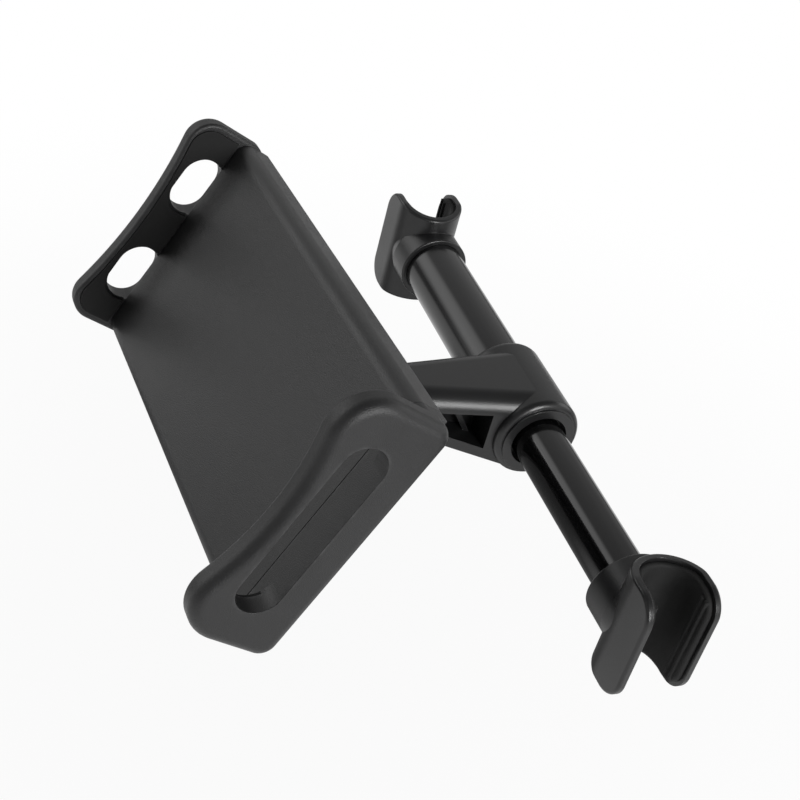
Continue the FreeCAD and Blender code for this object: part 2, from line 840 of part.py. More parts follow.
ball_stud = make_ball_stud()
ball_liner = make_ball_liner()
lock_nut = make_lock_nut()


# Cradle, drawn with its front face at Z = 0, X along the clamp and Y across it.
def at_bosses(draw):
    for along in (1.0, -1.0):
        for across in (1.0, -1.0):
            draw(boss_along * along, boss_across * across)


def make_front_cover():
    body = new_body("front_cover")
    face = sketch_on(body, "face", "XY_Plane")
    block(face, -half_gap, -half_width, cover_right, half_width)
    pad(body, face, dim.cover_depth, back=True)
    rounded(body, "sides", dim.cover_round, lambda edge: runs_along(edge, "x") and near(middle(edge).z, 0.0))
    inside = sketch_on(body, "inside", "XY_Plane", -dim.cover_wall)
    block(inside, -dim.grip_gap, -cover_inside, dim.grip_gap, cover_inside)
    pocket(body, inside)
    bosses = sketch_on(body, "bosses", "XY_Plane", -dim.cover_wall)
    at_bosses(lambda along, across: circle(bosses, along, across, dim.boss_radius))
    pad(body, bosses, rear_face - dim.cover_wall, back=True)
    pilots = sketch_on(body, "pilots", "XY_Plane", -dim.cover_wall)
    at_bosses(lambda along, across: circle(pilots, along, across, dim.screw_radius + dim.fit_clearance))
    pocket(body, pilots)
    body.Placement = cradle_place
    return body


def make_rear_cover():
    # Flat back with the ball's cup behind it, and rail guides and spring anchors inside.
    body = new_body("rear_cover")
    side = cover_inside - dim.cover_clearance
    plate = sketch_on(body, "plate", "XY_Plane", -rear_face)
    block(plate, -half_gap + dim.cover_clearance, -side, cover_right - dim.cover_clearance, side)
    pad(body, plate, dim.rear_plate, back=True)
    cup = sketch_on(body, "cup", "XY_Plane", -rear_face)
    circle(cup, 0.0, 0.0, cup_outer)
    pad(body, cup, ball_depth + dim.cup_past_ball - rear_face, back=True)
    hollow = sketch_on(body, "hollow", "XZ_Plane")
    rim = -ball_depth - dim.cup_past_ball * 2
    outline(
        hollow,
        [(0.0, -ball_depth + cup_bore, "x"), (0.0, rim), (cup_bore, rim), (cup_bore, -ball_depth, "y")],
        {3: (0.0, -ball_depth, cup_bore)},
    )
    spun(body, hollow, "V_Axis", cuts=True)

    guides = sketch_on(body, "guides", "XY_Plane", -rear_face)
    rail_middle = (rail_inside + rail_outside) / 2
    for way in (1.0, -1.0):
        low = rail_middle * way - dim.guide_rib_width / 2
        block(guides, dim.guide_rib_start, low, dim.guide_rib_start + dim.guide_rib_length,
              low + dim.guide_rib_width)
    pad(body, guides, rear_face - rail_bottom - dim.rail_clearance)
    anchors = sketch_on(body, "anchors", "XY_Plane", -rear_face)
    for way in (1.0, -1.0):
        low = spring_across * way - dim.spring_radius
        block(anchors, spring_start - dim.spring_anchor, low, spring_start, low + dim.spring_radius * 2)
    pad(body, anchors, rear_face - dim.cover_wall - dim.rail_clearance)

    holes = sketch_on(body, "holes", "XY_Plane", -rear_face)
    at_bosses(lambda along, across: circle(holes, along, across, dim.screw_radius + dim.cover_clearance))
    pocket(body, holes)
    seats = sketch_on(body, "seats", "XY_Plane", -dim.cover_depth)
    at_bosses(lambda along, across: circle(seats, along, across, dim.screw_head_radius + dim.cover_clearance))
    pocket(body, seats, dim.screw_head_seat, back=True)
    body.Placement = cradle_place
    return body


def lip_outline(sketch, lip, ear):
    # End wall of the cradle: square foot, and a top edge that dips a little between its two ears.
    half = half_width + dim.jaw_overhang
    dip = lip_dip(ear)
    outline(
        sketch,
        [(-half, -dim.cover_depth), (half, -dim.cover_depth), (half, lip + ear, "x"), (0.0, lip, "x"),
         (-half, lip + ear, "x")],
        {2: (0.0, lip + dip, dip), 3: (0.0, lip + dip, dip)},
    )


def round_lip(body, inner_face, outer_face, corner):
    half = half_width + dim.jaw_overhang

    def lip_corners(edge):
        place = middle(edge)
        return runs_along(edge, "x") and near(abs(place.y), half) and place.z > 0

    def foot_corners(edge):
        place = middle(edge)
        return runs_along(edge, "x") and near(abs(place.y), half) and place.z < 0

    rounded(body, "lip_corners", corner, lip_corners)
    rounded(body, "foot_corners", dim.base_corner, foot_corners)
    rounded(body, "outer_edge", dim.jaw_outer_edge, lambda edge: near(middle(edge).x, outer_face))
    rounded(body, "inner_edge", dim.jaw_inner_edge,
            lambda edge: near(middle(edge).x, inner_face) and middle(edge).z > 0.5)


def lip_dip(ear):
    # Radius of the shallow dip between a lip's two ears.
    half = half_width + dim.jaw_overhang
    return (half * half + ear * ear) / (ear * 2)


def pad_outline(sketch, lip, ear, round_by, grow=0.0):
    # Runs along the lip's own dip, a step below it, and rounds into its two sides.
    half = half_width + dim.jaw_overhang - dim.pad_side + grow
    foot = dim.pad_foot - grow
    level = lip + lip_dip(ear)
    reach = lip_dip(ear) + dim.pad_top - grow
    corner = round_by + grow
    along = half - corner
    drop = root((reach + corner) * (reach + corner) - along * along)
    share = reach / (reach + corner)
    outline(
        sketch,
        [(-half, foot), (half, foot), (half, level - drop), (along * share, level - drop * share, "x"),
         (0.0, level - reach, "x"), (-along * share, level - drop * share, "x"), (-half, level - drop, "y")],
        {2: (along, level - drop), 3: (0.0, level), 4: (0.0, level), 5: (-along, level - drop)},
    )


def rail_sections(sketch, top, bottom):
    block(sketch, rail_inside, -bottom, rail_outside, -top)
    block(sketch, -rail_outside, -bottom, -rail_inside, -top)


def windows(sketch, margin=0.0):
    for way in (0.5, -0.5):
        obround(sketch, dim.window_spacing * way, dim.window_centre,
                dim.window_length + margin * 2, dim.window_height + margin * 2)


def make_left_jaw():
    body = new_body("left_jaw")
    wall = sketch_on(body, "wall", "YZ_Plane", -half_gap)
    lip_outline(wall, dim.left_lip, dim.left_ear)
    pad(body, wall, dim.jaw_thickness, back=True)
    round_lip(body, -half_gap, -half_gap - dim.jaw_thickness, dim.left_corner)
    recess = sketch_on(body, "recess", "YZ_Plane", -half_gap)
    pad_outline(recess, dim.left_lip, dim.left_ear, dim.left_pad_corner, dim.fit_clearance)
    pocket(body, recess, dim.pad_recess)
    holes = sketch_on(body, "windows", "YZ_Plane", -half_gap)
    windows(holes)
    pocket(body, holes)
    tabs = sketch_on(body, "tabs", "YZ_Plane", -half_gap)
    rail_sections(tabs, dim.cover_wall + dim.fit_clearance, rear_face - dim.fit_clearance)
    pad(body, tabs, dim.tab_length)
    body.Placement = cradle_place
    return body


def make_right_jaw():
    body = new_body("right_jaw")
    wall = sketch_on(body, "wall", "YZ_Plane", half_gap)
    lip_outline(wall, dim.right_lip, dim.right_ear)
    pad(body, wall, dim.jaw_thickness)
    round_lip(body, half_gap, half_gap + dim.jaw_thickness, dim.right_corner)
    foot = sketch_on(body, "foot", "YZ_Plane", seam)
    shoulder = half_width - dim.cover_round
    outline(
        foot,
        [(-half_width, -dim.cover_depth), (half_width, -dim.cover_depth),
         (half_width, -dim.cover_round, "y"), (shoulder, 0.0, "x"),
         (-shoulder, 0.0, "x"), (-half_width, -dim.cover_round, "y")],
        {2: (shoulder, -dim.cover_round, dim.cover_round), 4: (-shoulder, -dim.cover_round, dim.cover_round)},
    )
    pad(body, foot, dim.jaw_base)
    recess = sketch_on(body, "recess", "YZ_Plane", half_gap)
    pad_outline(recess, dim.right_lip, dim.right_ear, dim.right_pad_corner, dim.fit_clearance)
    pocket(body, recess, dim.pad_recess, back=True)
    slot = sketch_on(body, "slot", "YZ_Plane", half_gap + dim.jaw_thickness)
    obround(slot, 0.0, dim.slot_height / 2, dim.slot_length, dim.slot_height)
    pocket(body, slot, dim.jaw_thickness)
    rails = sketch_on(body, "rails", "YZ_Plane", seam)
    rail_sections(rails, rail_top, rail_bottom)
    pad(body, rails, seam + half_gap - dim.tab_length - dim.rail_gap, back=True)
    hooks = sketch_on(body, "spring_tabs", "YZ_Plane", spring_end)
    for way in (1.0, -1.0):
        middle_across = spring_across * way
        reach = dim.spring_radius + dim.spring_side_gap + dim.rail_clearance
        block(hooks, middle_across - reach, -spring_level - dim.spring_radius,
              middle_across + reach, -rail_top)
    pad(body, hooks, dim.spring_anchor)
    body.Placement = cradle_place
    return body


def make_jaw_pad(label, face, lip, ear, round_by, back):
    # Soft facing let into the jaw's inner face, open where the jaw is open.
    body = new_body(label)
    base = sketch_on(body, "face", "YZ_Plane", face)
    pad_outline(base, lip, ear, round_by)
    pad(body, base, dim.pad_wall, back=back)
    return body


def make_left_pad():
    body = make_jaw_pad("left_jaw_pad", -half_gap - dim.pad_recess, dim.left_lip, dim.left_ear,
                        dim.left_pad_corner, False)
    holes = sketch_on(body, "windows", "YZ_Plane", -half_gap + dim.pad_wall)
    windows(holes, dim.pad_window_margin)
    pocket(body, holes)
    body.Placement = cradle_place
    return body


def make_right_pad():
    body = make_jaw_pad("right_jaw_pad", half_gap + dim.pad_recess, dim.right_lip, dim.right_ear,
                        dim.right_pad_corner, True)
    slot = sketch_on(body, "slot", "YZ_Plane", half_gap + dim.pad_wall * 2)
    obround(slot, 0.0, dim.slot_height / 2, dim.slot_length + dim.pad_window_margin * 2,
            dim.slot_height + dim.pad_window_margin * 2)
    pocket(body, slot)
    body.Placement = cradle_place
    return body


def make_screws():
    # Four headed screws that hold the rear cover to the front cover's bosses.
    solids = []
    seat = dim.cover_depth.number - dim.screw_head_seat.number
    reach = dim.cover_depth - dim.screw_head_seat - dim.cover_wall - dim.screw_tip_gap

    def one_screw(along, across):
        count = len(solids) + 1
        spot = FreeCAD.Vector(along.number, across.number, -seat)
        shank = doc.addObject("Part::Cylinder", f"screw_shank_{count}")
        bind(shank, "Radius", dim.screw_radius)
        bind(shank, "Height", reach)
        shank.Placement = cradle_place.multiply(FreeCAD.Placement(spot, FreeCAD.Rotation()))
        head = doc.addObject("Part::Cylinder", f"screw_head_{count}")
        bind(head, "Radius", dim.screw_head_radius)
        bind(head, "Height", dim.screw_head)
        below = FreeCAD.Vector(spot.x, spot.y, -seat - dim.screw_head.number)
        head.Placement = cradle_place.multiply(FreeCAD.Placement(below, FreeCAD.Rotation()))
        screw = doc.addObject("Part::Fuse", f"screw_{count}")
        screw.Base = shank
        screw.Tool = head
        solids.append(screw)

    at_bosses(one_screw)
    screws = doc.addObject("Part::Compound", "cover_screws")
    screws.Label = "cover_screws"
    screws.Links = solids
    return screws


def make_spring(label, way):
    # Extension spring from the rear cover's anchor to the sliding jaw's tab.
    body = new_body(label)
    wire = sketch_on(body, "wire", "XZ_Plane")
    circle(wire, dim.spring_radius - dim.spring_wire, dim.spring_wire, dim.spring_wire)
    coil = body.newObject("PartDesign::AdditiveHelix", f"{label}_coil")
    coil.Profile = wire
    coil.ReferenceAxis = (wire, ["V_Axis"])
    coil.Mode = "pitch-height-angle"
    bind(coil, "Pitch", dim.spring_pitch)
    bind(coil, "Height", dim.spring_length - dim.spring_wire * 2)
    seat = FreeCAD.Vector(spring_start.number, spring_across.number * way, -spring_level.number)
    along = FreeCAD.Rotation(FreeCAD.Vector(0, 1, 0), 90)
    body.Placement = cradle_place.multiply(FreeCAD.Placement(seat, along))
    return body


pieces = [
    outer_tube, inner_tube, guide_bush, lock_spindle, lock_plug, left_hook, left_liner, right_hook,
    right_liner, arm, sleeve_bush, ball_stud, ball_liner, lock_nut, make_front_cover(), make_rear_cover(),
    make_left_jaw(), make_left_pad(), make_right_jaw(), make_right_pad(), make_screws(),
    make_spring("jaw_spring_upper", 1.0), make_spring("jaw_spring_lower", -1.0),
]
doc.recompute()

faults = [one.Name for one in doc.Objects if "Invalid" in one.State or "Error" in one.State]
for piece in pieces:
    if piece.Shape.isNull() or not piece.Shape.isValid() or not piece.Shape.Solids:
        faults.append(piece.Label)
if faults:
    raise RuntimeError("failed objects: " + ", ".join(faults))

os.makedirs("parts", exist_ok=True)
for piece in pieces:
    piece.Shape.exportStep(f"parts/{piece.Label}.step")
    print(piece.Label, len(piece.Shape.Solids), round(piece.Shape.Volume, 1))
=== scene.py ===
import json

import bpy
from mathutils import Matrix, Vector


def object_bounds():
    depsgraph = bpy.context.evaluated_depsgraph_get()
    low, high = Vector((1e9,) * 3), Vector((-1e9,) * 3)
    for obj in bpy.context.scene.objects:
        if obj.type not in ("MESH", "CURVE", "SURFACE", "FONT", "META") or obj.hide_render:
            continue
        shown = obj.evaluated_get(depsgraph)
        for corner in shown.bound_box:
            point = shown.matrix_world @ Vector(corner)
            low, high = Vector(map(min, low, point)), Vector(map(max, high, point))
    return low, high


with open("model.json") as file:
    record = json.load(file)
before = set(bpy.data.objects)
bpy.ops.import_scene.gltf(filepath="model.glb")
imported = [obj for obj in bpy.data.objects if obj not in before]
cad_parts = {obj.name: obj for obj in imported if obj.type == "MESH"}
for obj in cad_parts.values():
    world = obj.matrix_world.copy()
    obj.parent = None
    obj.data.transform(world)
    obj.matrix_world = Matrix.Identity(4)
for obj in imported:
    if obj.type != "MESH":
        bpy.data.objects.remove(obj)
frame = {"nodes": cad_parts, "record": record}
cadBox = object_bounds()
nodes = frame["nodes"]


def feed(tree, value, socket):  # put a number, a colour or another node's output on a socket
    if isinstance(value, bpy.types.NodeSocket):
        tree.links.new(value, socket)
    elif socket.type == "RGBA":
        socket.default_value = (*value, 1.0)
    else:
        socket.default_value = value


def addNode(tree, kind, sockets=None, **settings):
    node = tree.nodes.new(kind)
    for name, value in settings.items():
        setattr(node, name, value)
    for name, value in (sockets or {}).items():
        feed(tree, value, node.inputs[name])
    return node


def newGroup(name, inputs, outputs):
    tree = bpy.data.node_groups.new(name, "ShaderNodeTree")
    for label in inputs:
        tree.interface.new_socket(label, in_out="INPUT", socket_type="NodeSocketFloat")
    for label in outputs:
        tree.interface.new_socket(label, in_out="OUTPUT", socket_type="NodeSocketFloat")
    return tree, tree.nodes.new("NodeGroupInput"), tree.nodes.new("NodeGroupOutput")


def useGroup(tree, group, **values):
    return addNode(tree, "ShaderNodeGroup", values, node_tree=group)


def ramp(tree, source, low, high):  # smooth step of a value between two levels
    levels = {"Value": source, "From Min": low, "From Max": high}
    return addNode(tree, "ShaderNodeMapRange", levels, interpolation_type="SMOOTHSTEP").outputs["Result"]


def mixValues(tree, mask, low, high):
    return addNode(tree, "ShaderNodeMapRange", {"Value": mask, "To Min": low, "To Max": high}).outputs["Result"]


def mixColours(tree, mask, first, second):
    return addNode(tree, "ShaderNodeMix", {"Factor": mask, 6: first, 7: second}, data_type="RGBA").outputs[2]


def maths(tree, operation, first, second=0.0):
    return addNode(tree, "ShaderNodeMath", {0: first, 1: second}, operation=operation).outputs[0]


def along(tree, vector, way):
    return addNode(tree, "ShaderNodeVectorMath", {0: vector, 1: way}, operation="DOT_PRODUCT").outputs["Value"]


def noise(tree, vector, scale, detail):
    return addNode(tree, "ShaderNodeTexNoise", {"Vector": vector, "Scale": scale, "Detail": detail}).outputs["Fac"]


# spark-eroded mould grain: fine pits with a slower drift, height and a tone mask
grainLook = {"pitDetail": 3.0, "driftDetail": 2.0, "driftShare": 0.25}


def makeMouldGrain():
    tree, inside, outside = newGroup("mouldGrain", ("Pits", "Drift"), ("Height", "Tone"))
    place = addNode(tree, "ShaderNodeTexCoord").outputs["Object"]
    fine = noise(tree, place, inside.outputs["Pits"], grainLook["pitDetail"])
    slow = noise(tree, place, inside.outputs["Drift"], grainLook["driftDetail"])
    height = maths(tree, "ADD", fine, maths(tree, "MULTIPLY", slow, grainLook["driftShare"]))
    feed(tree, height, outside.inputs["Height"])
    feed(tree, slow, outside.inputs["Tone"])
    return tree


# edge mask along outer edges, from how far a rounded normal leans from the real one: it drives polish, and lightens
# the colour there as wear and as a painted highlight
rubLook = {"samples": 6, "lean": (0.01, 0.2), "patchDetail": 3.0, "patches": (0.35, 0.7)}


def makeEdgeRub():
    tree, inside, outside = newGroup("edgeRubAndSheen", ("Reach", "Patchy"), ("Mask",))
    soft = addNode(tree, "ShaderNodeBevel", {"Radius": inside.outputs["Reach"]}, samples=rubLook["samples"])
    plain = addNode(tree, "ShaderNodeNewGeometry").outputs["Normal"]
    edge = maths(tree, "SUBTRACT", 1.0, along(tree, soft.outputs["Normal"], plain))
    place = addNode(tree, "ShaderNodeTexCoord").outputs["Object"]
    patches = noise(tree, place, inside.outputs["Patchy"], rubLook["patchDetail"])
    mask = maths(tree, "MULTIPLY", ramp(tree, edge, *rubLook["lean"]), ramp(tree, patches, *rubLook["patches"]))
    feed(tree, mask, outside.inputs["Mask"])
    return tree


# thin film of dust that settles on upward faces
dustLook = {"facing": (-0.1, 1.0), "detail": 4.0, "specks": (0.55, 0.8)}


def makeDustFilm():
    tree, inside, outside = newGroup("dustFilm", ("Speck",), ("Mask",))
    place = addNode(tree, "ShaderNodeTexCoord").outputs["Object"]
    normal = addNode(tree, "ShaderNodeNewGeometry").outputs["Normal"]
    upward = addNode(tree, "ShaderNodeSeparateXYZ", {0: normal}).outputs["Z"]
    specks = noise(tree, place, inside.outputs["Speck"], dustLook["detail"])
    mask = maths(tree, "MULTIPLY", ramp(tree, upward, *dustLook["facing"]), ramp(tree, specks, *dustLook["specks"]))
    feed(tree, mask, outside.inputs["Mask"])
    return tree


mouldGrain = makeMouldGrain()
edgeRubAndSheen = makeEdgeRub()
dustFilm = makeDustFilm()
print("shared effects ready")


def startMaterial(name):
    material = bpy.data.materials.new(name)
    material.use_nodes = True
    return material, material.node_tree, material.node_tree.nodes["Principled BSDF"]


def dusted(tree, tone, look):
    dust = useGroup(tree, dustFilm, Speck=look["dustSpeck"]).outputs["Mask"]
    return mixColours(tree, maths(tree, "MULTIPLY", dust, look["dust"]), tone, look["dustTone"])


# moulded plastic and rubber: grained, rubbed along the edges, with edges painted lighter as wear and as a painted
# highlight, and a little dusty
def grainedSkin(name, look):
    material, tree, skin = startMaterial(name)
    grain = useGroup(tree, mouldGrain, Pits=look["pits"], Drift=look["drift"]).outputs
    rubAndSheen = useGroup(tree, edgeRubAndSheen, Reach=look["edgeReach"], Patchy=look["edgePatchy"]).outputs["Mask"]
    drift = ramp(tree, grain["Tone"], *look["driftBand"])
    tone = mixColours(tree, drift, look["dark"], look["light"])
    # edges lighter in colour: partly wear, partly a painted highlight along the rounded edges
    wornAndHighlit = mixColours(tree, maths(tree, "MULTIPLY", rubAndSheen, look["edgeWearAndHighlight"]), tone, look["edge"])
    feed(tree, dusted(tree, wornAndHighlit, look), skin.inputs["Base Color"])
    rough = mixValues(tree, drift, look["roughLow"], look["roughHigh"])
    polish = maths(tree, "MULTIPLY", rubAndSheen, look["edgePolish"])
    feed(tree, maths(tree, "SUBTRACT", rough, polish), skin.inputs["Roughness"])
    skin.inputs["IOR"].default_value = look["ior"]
    soft = addNode(tree, "ShaderNodeBevel", {"Radius": look["edgeSoft"]}, samples=rubLook["samples"])
    pits = addNode(tree, "ShaderNodeBump", {
        "Strength": look["pitStrength"], "Distance": look["pitDepth"],
        "Height": grain["Height"], "Normal": soft.outputs["Normal"],
    })
    feed(tree, pits.outputs["Normal"], skin.inputs["Normal"])
    return material


coverLook = {
    "dark": (0.008, 0.008, 0.0083), "light": (0.0115, 0.0115, 0.0119), "driftBand": (0.3, 0.7),
    "pits": 3400.0, "drift": 45.0, "pitStrength": 0.7, "pitDepth": 0.00013,
    "roughLow": 0.33, "roughHigh": 0.38, "ior": 1.48,
    "edge": (0.03, 0.03, 0.031), "edgeReach": 0.0008, "edgePatchy": 220.0, "edgeWearAndHighlight": 0.5,
    "edgePolish": 0.1, "edgeSoft": 0.0003,
    "dustTone": (0.12, 0.118, 0.115), "dustSpeck": 1500.0, "dust": 0.04,
}
# the jaw's paler, wider edge colour is mostly a painted highlight along the lip and the arch, with some wear
jawLook = dict(
    coverLook, drift=60.0, roughLow=0.41, roughHigh=0.47,
    edge=(0.05, 0.05, 0.0515), edgeReach=0.002, edgeWearAndHighlight=0.7, edgePolish=0.16)
armLook = dict(coverLook, pits=2400.0, roughLow=0.28, roughHigh=0.36, pitStrength=0.22)
hookLook = dict(coverLook, pits=3000.0, roughLow=0.3, roughHigh=0.37, pitStrength=0.25)
nutLook = dict(coverLook, pits=3000.0, roughLow=0.42, roughHigh=0.5)
ballLook = dict(coverLook, pits=1800.0, roughLow=0.16, roughHigh=0.24, pitStrength=0.08, dust=0.02)
bearingLook = dict(coverLook, pits=1800.0, roughLow=0.3, roughHigh=0.4, pitStrength=0.1)
rubberLook = {
    "dark": (0.006, 0.006, 0.006), "light": (0.009, 0.009, 0.009), "driftBand": (0.3, 0.7),
    "pits": 2600.0, "drift": 120.0, "pitStrength": 0.5, "pitDepth": 0.00008,
    "roughLow": 0.68, "roughHigh": 0.8, "ior": 1.4,
    "edge": (0.03, 0.03, 0.03), "edgeReach": 0.0007, "edgePatchy": 260.0, "edgeWearAndHighlight": 0.4,
    "edgePolish": 0.0, "edgeSoft": 0.0004,
    "dustTone": (0.11, 0.108, 0.105), "dustSpeck": 1300.0, "dust": 0.08,
}


def drawnMarks(tree, look):  # long marks left by drawing tube or wire
    place = addNode(tree, "ShaderNodeTexCoord").outputs["Object"]
    drawn = addNode(tree, "ShaderNodeMapping", {"Vector": place, "Scale": look["stretch"]})
    return noise(tree, drawn.outputs["Vector"], look["markScale"], look["markDetail"])


def glossTube(name, look):
    material, tree, skin = startMaterial(name)
    marks = drawnMarks(tree, look)
    tone = mixColours(tree, ramp(tree, marks, *look["toneBand"]), look["dark"], look["light"])
    feed(tree, dusted(tree, tone, look), skin.inputs["Base Color"])
    rough = mixValues(tree, ramp(tree, marks, *look["roughBand"]), look["roughLow"], look["roughHigh"])
    feed(tree, rough, skin.inputs["Roughness"])
    skin.inputs["IOR"].default_value = look["ior"]
    skin.inputs["Coat Roughness"].default_value = look["coatRough"]
    skin.inputs["Coat Weight"].default_value = look["coat"]
    place = addNode(tree, "ShaderNodeTexCoord").outputs["Object"]
    waves = addNode(tree, "ShaderNodeBump", {
        "Strength": look["peelStrength"], "Distance": look["peelDepth"],
        "Height": noise(tree, place, look["peelScale"], look["peelDetail"]),
    })
    feed(tree, waves.outputs["Normal"], skin.inputs["Normal"])
    return material


glossLook = {
    "dark": (0.003, 0.003, 0.0032), "light": (0.005, 0.005, 0.0052), "toneBand": (0.35, 0.65),
    "stretch": (0.03, 1.0, 1.0), "markScale": 900.0, "markDetail": 4.0,
    "peelScale": 700.0, "peelDetail": 2.0, "peelStrength": 0.1, "peelDepth": 0.00004,
    "roughBand": (0.35, 0.75), "roughLow": 0.13, "roughHigh": 0.16, "ior": 1.46,
    "coat": 0.1, "coatRough": 0.06,
    "dustTone": (0.15, 0.148, 0.145), "dustSpeck": 1800.0, "dust": 0.03,
}
satinLook = dict(
    glossLook, dark=(0.006, 0.006, 0.0062), light=(0.009, 0.009, 0.0092), roughLow=0.17, roughHigh=0.2, coat=0.0)


def wireSteel(name, look):
    material, tree, skin = startMaterial(name)
    marks = drawnMarks(tree, look)
    feed(tree, mixColours(tree, marks, look["dark"], look["light"]), skin.inputs["Base Color"])
    feed(tree, mixValues(tree, marks, look["roughLow"], look["roughHigh"]), skin.inputs["Roughness"])
    skin.inputs["Metallic"].default_value = 1.0
    lines = addNode(tree, "ShaderNodeBump", {
        "Strength": look["lineStrength"], "Distance": look["lineDepth"], "Height": marks,
    })
    feed(tree, lines.outputs["Normal"], skin.inputs["Normal"])
    return material


springLook = {
    "dark": (0.42, 0.42, 0.43), "light": (0.58, 0.58, 0.59),
    "stretch": (0.1, 1.0, 1.0), "markScale": 1500.0, "markDetail": 5.0,
    "roughLow": 0.22, "roughHigh": 0.38, "lineStrength": 0.2, "lineDepth": 0.00002,
}
screwLook = dict(springLook, dark=(0.06, 0.06, 0.062), light=(0.12, 0.12, 0.124), stretch=(1.0, 1.0, 0.3))

finishes = {
    "cover_plastic": grainedSkin("coverPlastic", coverLook),
    "jaw_plastic": grainedSkin("jawPlastic", jawLook),
    "arm_plastic": grainedSkin("armPlastic", armLook),
    "hook_plastic": grainedSkin("hookPlastic", hookLook),
    "nut_plastic": grainedSkin("nutPlastic", nutLook),
    "ball_plastic": grainedSkin("ballPlastic", ballLook),
    "bearing_plastic": grainedSkin("bearingPlastic", bearingLook),
    "black_tube": glossTube("glossTube", glossLook),
    "soft_rubber": grainedSkin("softRubber", rubberLook),
    "dark_steel": wireSteel("darkSteel", screwLook),
    "spring_steel": wireSteel("springSteel", springLook),
}
ownFinish = {
    "outer_tube": glossTube("satinTube", satinLook),  # the thick tube has a flatter coat
}
for part in frame["record"]["subparts"]:
    mesh = nodes[part["node"]].data
    mesh.materials.clear()
    mesh.materials.append(ownFinish.get(part["node"], finishes[part["material_slot"]]))


# pale floor: white to the eye with a faint real shadow; in gloss its glow is painted darker far out and along a
# painted shadow stripe standing for the cradle's long shadow
floorLook = {
    "half": 9.0, "drop": 0.13, "pale": (0.92, 0.92, 0.92), "rough": 0.9,
    "shadow": 0.14, "whiteNear": 0.12, "whiteFar": 0.5,
    "glossShadow": 0.15, "glossNear": 0.66, "glossFar": 1.26, "glossFade": 0.1,
    "shadeWay": (0.85, -0.526, 0.0), "shadeAt": -0.056, "shadeIn": 0.045, "shadeOut": 0.085, "shadeKeep": 0.1,
}


def paintFloor():
    material, tree, skin = startMaterial("floorPaper")
    feed(tree, floorLook["pale"], skin.inputs["Base Color"])
    skin.inputs["Roughness"].default_value = floorLook["rough"]
    skin.inputs["Specular IOR Level"].default_value = 0.0
    path = addNode(tree, "ShaderNodeLightPath").outputs
    place = addNode(tree, "ShaderNodeNewGeometry").outputs["Position"]
    reach = addNode(tree, "ShaderNodeVectorMath", {0: place}, operation="LENGTH").outputs["Value"]
    eye = maths(tree, "MAXIMUM", path["Is Camera Ray"], path["Is Transmission Ray"])
    clear = ramp(tree, reach, floorLook["whiteNear"], floorLook["whiteFar"])
    eye = maths(tree, "MULTIPLY", eye, mixValues(tree, clear, 1.0 - floorLook["shadow"], 1.0))
    gloss = path["Is Glossy Ray"]
    # painted darkening: the floor's glow in reflections dims far from the middle
    far = ramp(tree, reach, floorLook["glossNear"], floorLook["glossFar"])
    paintedFade = mixValues(tree, far, 1.0, floorLook["glossFade"])
    # painted shadow: a stripe of dimmer glow in reflections where the cradle's long shadow would fall
    across = maths(tree, "SUBTRACT", along(tree, place, floorLook["shadeWay"]), floorLook["shadeAt"])
    aside = ramp(tree, maths(tree, "ABSOLUTE", across), floorLook["shadeIn"], floorLook["shadeOut"])
    shade = mixValues(tree, aside, floorLook["shadeKeep"], 1.0)
    lost = maths(tree, "SUBTRACT", 1.0, maths(tree, "MULTIPLY", paintedFade, shade))
    glow = maths(tree, "SUBTRACT", 1.0, maths(tree, "MULTIPLY", lost, gloss))
    white = addNode(tree, "ShaderNodeEmission", {"Strength": glow})
    shiny = maths(tree, "MULTIPLY", gloss, 1.0 - floorLook["glossShadow"])
    bright = addNode(tree, "ShaderNodeMixShader", {
        "Fac": maths(tree, "MAXIMUM", eye, shiny), 1: skin.outputs["BSDF"], 2: white.outputs["Emission"],
    })
    feed(tree, bright.outputs["Shader"], tree.nodes["Material Output"].inputs["Surface"])
    return material


def makeFloor():
    low = cadBox[0][2] - floorLook["drop"]
    half = floorLook["half"]
    corners = [(-half, -half, low), (half, -half, low), (half, half, low), (-half, half, low)]
    mesh = bpy.data.meshes.new("floor")
    mesh.from_pydata(corners, [], [(0, 1, 2, 3)])
    mesh.materials.append(paintFloor())
    floor = bpy.data.objects.new("floor", mesh)
    bpy.context.scene.collection.objects.link(floor)


makeFloor()
print("floor laid")


# white tent round the object: plain white to the eye, and in gloss brighter on the left than overhead or behind
worldLook = {
    "level": 0.4, "low": 0.14, "high": 0.64, "leftFrom": -0.1, "leftTo": -0.8,
    "backFrom": 0.45, "backTo": 0.75, "backKeep": 0.75,
    "beltLow": -0.3, "beltHigh": 0.05, "beltSoft": 0.04, "beltKeep": 0.1, "beltFront": -0.1, "beltFade": 0.3,
}
paleCards = {  # seen in gloss only: front left, behind and front right
    "panel": {"way": (-0.64, -0.62, 0.45), "edge": 0.92, "full": 0.985, "gain": 1.45},
    "wall": {"way": (0.5, 0.86, 0.1), "edge": 0.7, "full": 0.92, "gain": 0.8},
    "front": {"way": (0.348, -0.895, 0.279), "edge": 0.76, "full": 0.95, "gain": 0.35},
}


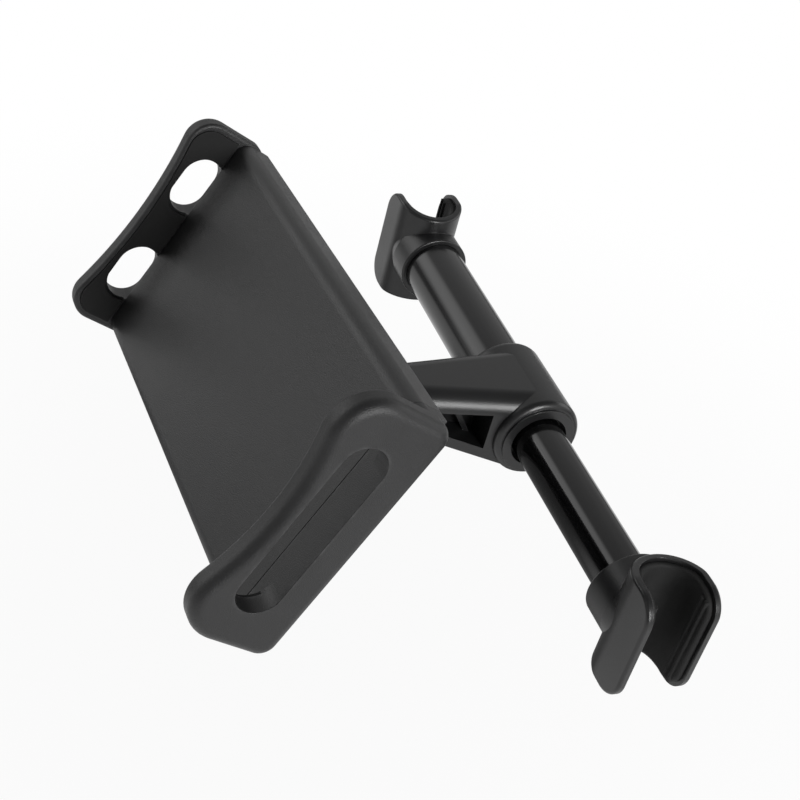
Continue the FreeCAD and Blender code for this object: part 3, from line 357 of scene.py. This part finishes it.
def makeWorld():
    world = bpy.data.worlds.new("whiteTent")
    bpy.context.scene.world = world
    world.use_nodes = True
    tree = world.node_tree
    back = tree.nodes["Background"]
    feed(tree, (1.0, 1.0, 1.0), back.inputs["Color"])
    toward = addNode(tree, "ShaderNodeTexCoord").outputs["Generated"]
    way = addNode(tree, "ShaderNodeSeparateXYZ", {0: toward}).outputs
    leftward = ramp(tree, way["X"], worldLook["leftFrom"], worldLook["leftTo"])
    backward = ramp(tree, way["Y"], worldLook["backFrom"], worldLook["backTo"])
    tent = maths(tree, "MULTIPLY", mixValues(tree, leftward, worldLook["low"], worldLook["high"]),
                 mixValues(tree, backward, 1.0, worldLook["backKeep"]))
    for card in paleCards.values():
        glow = ramp(tree, along(tree, toward, card["way"]), card["edge"], card["full"])
        tent = maths(tree, "ADD", tent, maths(tree, "MULTIPLY", glow, card["gain"]))
    soft = worldLook["beltSoft"]  # dim belt along the horizon, in front only
    over = ramp(tree, way["Z"], worldLook["beltLow"] - soft, worldLook["beltLow"] + soft)
    under = ramp(tree, way["Z"], worldLook["beltHigh"] + soft, worldLook["beltHigh"] - soft)
    front = ramp(tree, way["Y"], worldLook["beltFront"], worldLook["beltFront"] - worldLook["beltFade"])
    belt = maths(tree, "MULTIPLY", maths(tree, "MULTIPLY", over, under), front)
    tent = maths(tree, "MULTIPLY", tent, mixValues(tree, belt, 1.0, worldLook["beltKeep"]))
    path = addNode(tree, "ShaderNodeLightPath").outputs
    eye = maths(tree, "MAXIMUM", path["Is Camera Ray"], path["Is Transmission Ray"])
    plain = maths(tree, "ADD", maths(tree, "MULTIPLY", eye, 1.0 - worldLook["level"]), worldLook["level"])
    gloss = path["Is Glossy Ray"]
    dull = maths(tree, "MULTIPLY", plain, maths(tree, "SUBTRACT", 1.0, gloss))
    feed(tree, maths(tree, "ADD", dull, maths(tree, "MULTIPLY", tent, gloss)), back.inputs["Strength"])


makeWorld()
print("tent hung")

softBoxes = {
    "keyBox": {"place": (0.94, 0.2, 0.32), "aim": (0.0, -0.03, 0.0), "size": (0.24, 0.46), "power": 8.0},
    "fillBox": {"place": (-0.5, -1.0, 0.25), "aim": (0.0, -0.04, 0.0), "size": (0.9, 0.7), "power": 1.5},
    "backBox": {"place": (-0.1, 1.1, 0.5), "aim": (0.0, 0.0, 0.0), "size": (0.9, 0.6), "power": 2.5},
}


def makeLamps():
    for name, box in softBoxes.items():
        lamp = bpy.data.lights.new(name, "AREA")
        lamp.shape = "RECTANGLE"
        lamp.size, lamp.size_y = box["size"]
        lamp.energy = box["power"]
        holder = bpy.data.objects.new(name, lamp)
        holder.location = box["place"]
        holder.rotation_euler = (Vector(box["aim"]) - Vector(box["place"])).to_track_quat("-Z", "Y").to_euler()
        bpy.context.scene.collection.objects.link(holder)


makeLamps()
print("lamps placed:", len(softBoxes))


# camera at the photo's angle, looking down over the sliding jaw
cameraView = {
    "place": (0.28708, -0.19497, 0.23930), "lens": 64.08, "sensor": 36.0, "nearest": 0.01,
    "right": (0.32106, 0.92116, 0.21996), "up": (-0.62308, 0.03055, 0.78156), "back": (0.71322, -0.38798, 0.58377),
}


def makeCamera():
    lens = bpy.data.cameras.new("camera")
    lens.lens = cameraView["lens"]
    lens.sensor_width = cameraView["sensor"]
    lens.clip_start = cameraView["nearest"]
    camera = bpy.data.objects.new("camera", lens)
    turn = Matrix((cameraView["right"], cameraView["up"], cameraView["back"])).transposed().to_4x4()
    camera.matrix_world = Matrix.Translation(cameraView["place"]) @ turn
    bpy.context.scene.collection.objects.link(camera)
    bpy.context.scene.camera = camera


makeCamera()
bpy.context.scene.view_settings.view_transform = "Standard"
print("camera set")
